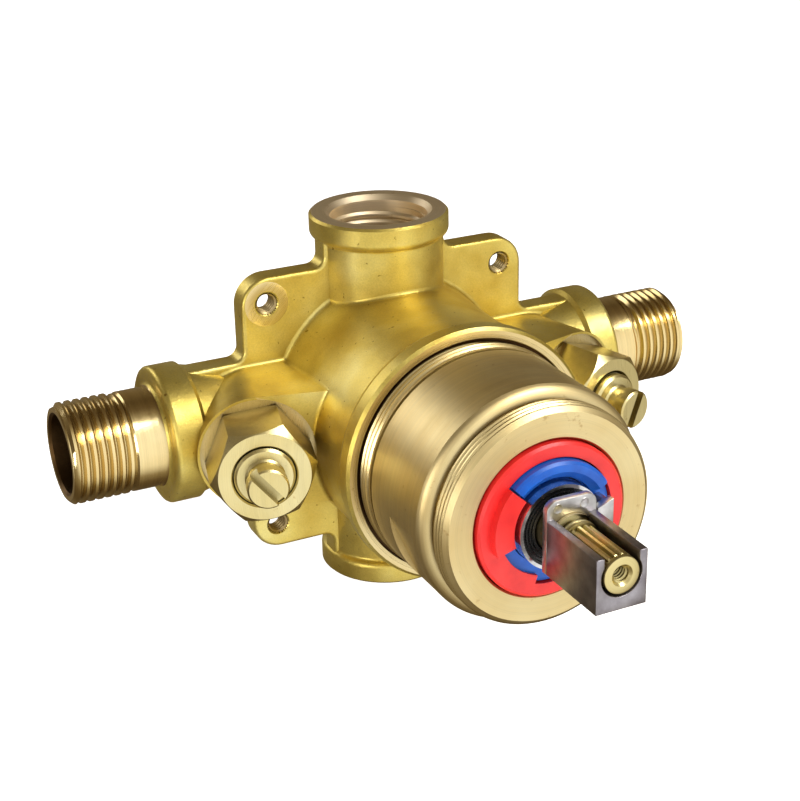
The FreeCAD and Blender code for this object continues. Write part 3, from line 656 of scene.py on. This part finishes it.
def bevelled(shape, name, material, width, body):
    mesh = bpy.data.meshes.new(name)
    mesh.from_pydata([Vector(point) * MM for point in shape.points], [], shape.faces)
    work = bmesh.new()
    work.from_mesh(mesh)
    bmesh.ops.recalc_face_normals(work, faces=work.faces)
    edges = [
        edge for edge in work.edges
        if len(edge.link_faces) == 2 and edge.calc_face_angle() > math.radians(40)
    ]
    bmesh.ops.bevel(work, geom=edges, offset=width * MM, segments=2, profile=0.5, affect="EDGES",
                    clamp_overlap=True)
    work.to_mesh(mesh)
    work.free()
    mesh.materials.append(material)
    mesh.polygons.foreach_set("use_smooth", [True] * len(mesh.polygons))
    mesh.set_sharp_from_angle(angle=math.radians(50))
    piece = new_object(name, mesh)
    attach(piece, body)
    return piece


def make_adapter():
    zinc = MATERIALS["cast_zinc"]
    bore, slot, top = 4.15, 3.55, 4.0
    meet = math.asin(slot / bore)
    arc = []
    for step in range(33):
        turn = meet + (2 * math.pi - 2 * meet) * step / 32
        arc.append((bore * math.sin(turn), bore * math.cos(turn)))
    channel = Shape()
    sides = [(-slot, top), (-HALF, top), (-HALF, BOTTOM), (HALF, BOTTOM), (HALF, top)]
    extruded(channel, [(slot, top), *arc, *sides], ADAPTER_BACK + 1.45, ADAPTER_FRONT)
    pieces = [bevelled(channel, "adapter_channel", zinc, 0.14, "spindle_set")]
    plate = Shape()
    hole = 4.6
    turns = [math.pi * step / 24 for step in range(25)]
    low_arc = [(hole * math.cos(t), -hole * math.sin(t)) for t in turns]
    high_arc = [(hole * math.cos(t), hole * math.sin(t)) for t in turns]
    crown = rounded([(-HALF, 0, 0), (-HALF, 7.6, 2.2), (HALF, 7.6, 1.9), (HALF, 0, 0)])
    foot = [(-HALF, 0), (-HALF, BOTTOM), (HALF, BOTTOM), (HALF, 0)]
    extruded(plate, [*low_arc, *foot], ADAPTER_BACK, FLANGE_FRONT)
    extruded(plate, [*high_arc, *crown], ADAPTER_BACK, FLANGE_FRONT)
    pieces.append(bevelled(plate, "adapter_flange", MATERIALS["pale_zinc"], 0.1, "spindle_set"))
    tab = Shape()
    root = HALF - 0.1
    extruded(tab, [(root, -0.4), (9.7, -0.4), (9.7, 4.6), (6.3, 3.3), (6.3, 1.3), (root, 1.3)], 76.7, 78.4)
    extruded(tab, [(8.8, -0.4), (9.9, -0.4), (9.9, 3.6), (8.8, 3.6)], 73.0, 76.8)
    pieces.append(bevelled(tab, "adapter_tab", MATERIALS["pale_zinc"], 0.1, "spindle_set"))
    marks = Shape()
    for x in (-2.9, 2.6):
        profile = [(0.0, 79.72), (0.75, 79.72), (0.82, 79.76), (0.92, 79.76), (0.98, 79.70)]
        marks.turn(profile, hole_place(x, 6.0), 32)
    pieces.append(marks.build("adapter_marks", MATERIALS["pale_zinc"], body="spindle_set"))
    for piece in pieces:
        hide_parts("handle_adapter")


def behind_nose(corners):
    """Refuses the part of the spindle that the splined nose takes the place of."""
    return not all(y < -0.0795 for x, y, z in corners)


def make_spindle():
    partial_copy("spindle", "spindle_shaft", ("machined_brass",), behind_nose, lambda x, y, z: 0,
                 "spindle_set")
    nose = Shape()
    nose.turn([
        (4.98, 77.9), (4.4, 78.3), (4.4, 79.4), (3.2, 80.0), (3.2, 81.1), (3.95, 81.3), (4.02, 81.5),
        (4.02, 82.5), (3.9, 82.7), (2.9, 82.9),
    ], front_place, 96)
    teeth, steps = 16, 12
    ring = []
    for i in range(teeth * steps):
        phase = i % steps / steps
        rise = min(1.0, max(0.0, 4.2 * min(phase, 1 - phase) - 0.4))
        ring.append((3.0 + 0.62 * rise, 2 * math.pi * i / (teeth * steps)))
    rows = []
    for depth, shrink in ((82.8, 0.4), (83.1, 0.0), (94.9, 0.0), (95.2, 0.25)):
        rows.append([
            ((r - shrink) * math.cos(t), -depth, (r - shrink) * math.sin(t)) for r, t in ring
        ])
    nose.rows(rows, True)
    nose.turn([
        (2.6, 95.1), (3.45, 95.2), (3.6, 95.35), (3.6, 96.0), (3.5, 96.2), (3.25, 96.3), (2.1, 96.3),
        (1.95, 96.15), (1.6, 95.8), (1.6, 89.0), (0.01, 88.6),
    ], front_place, 72)
    nose.coil(1.62, 1.3, 89.4, 95.7, 0.7, front_place, 32)
    piece = nose.build("spindle_nose", MATERIALS["nut_brass"], body="spindle_set")
    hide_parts("spindle")


make_camera()
make_floor()
make_lights()
dress_frame()
make_casting()
make_threads()
make_adapter()
make_spindle()
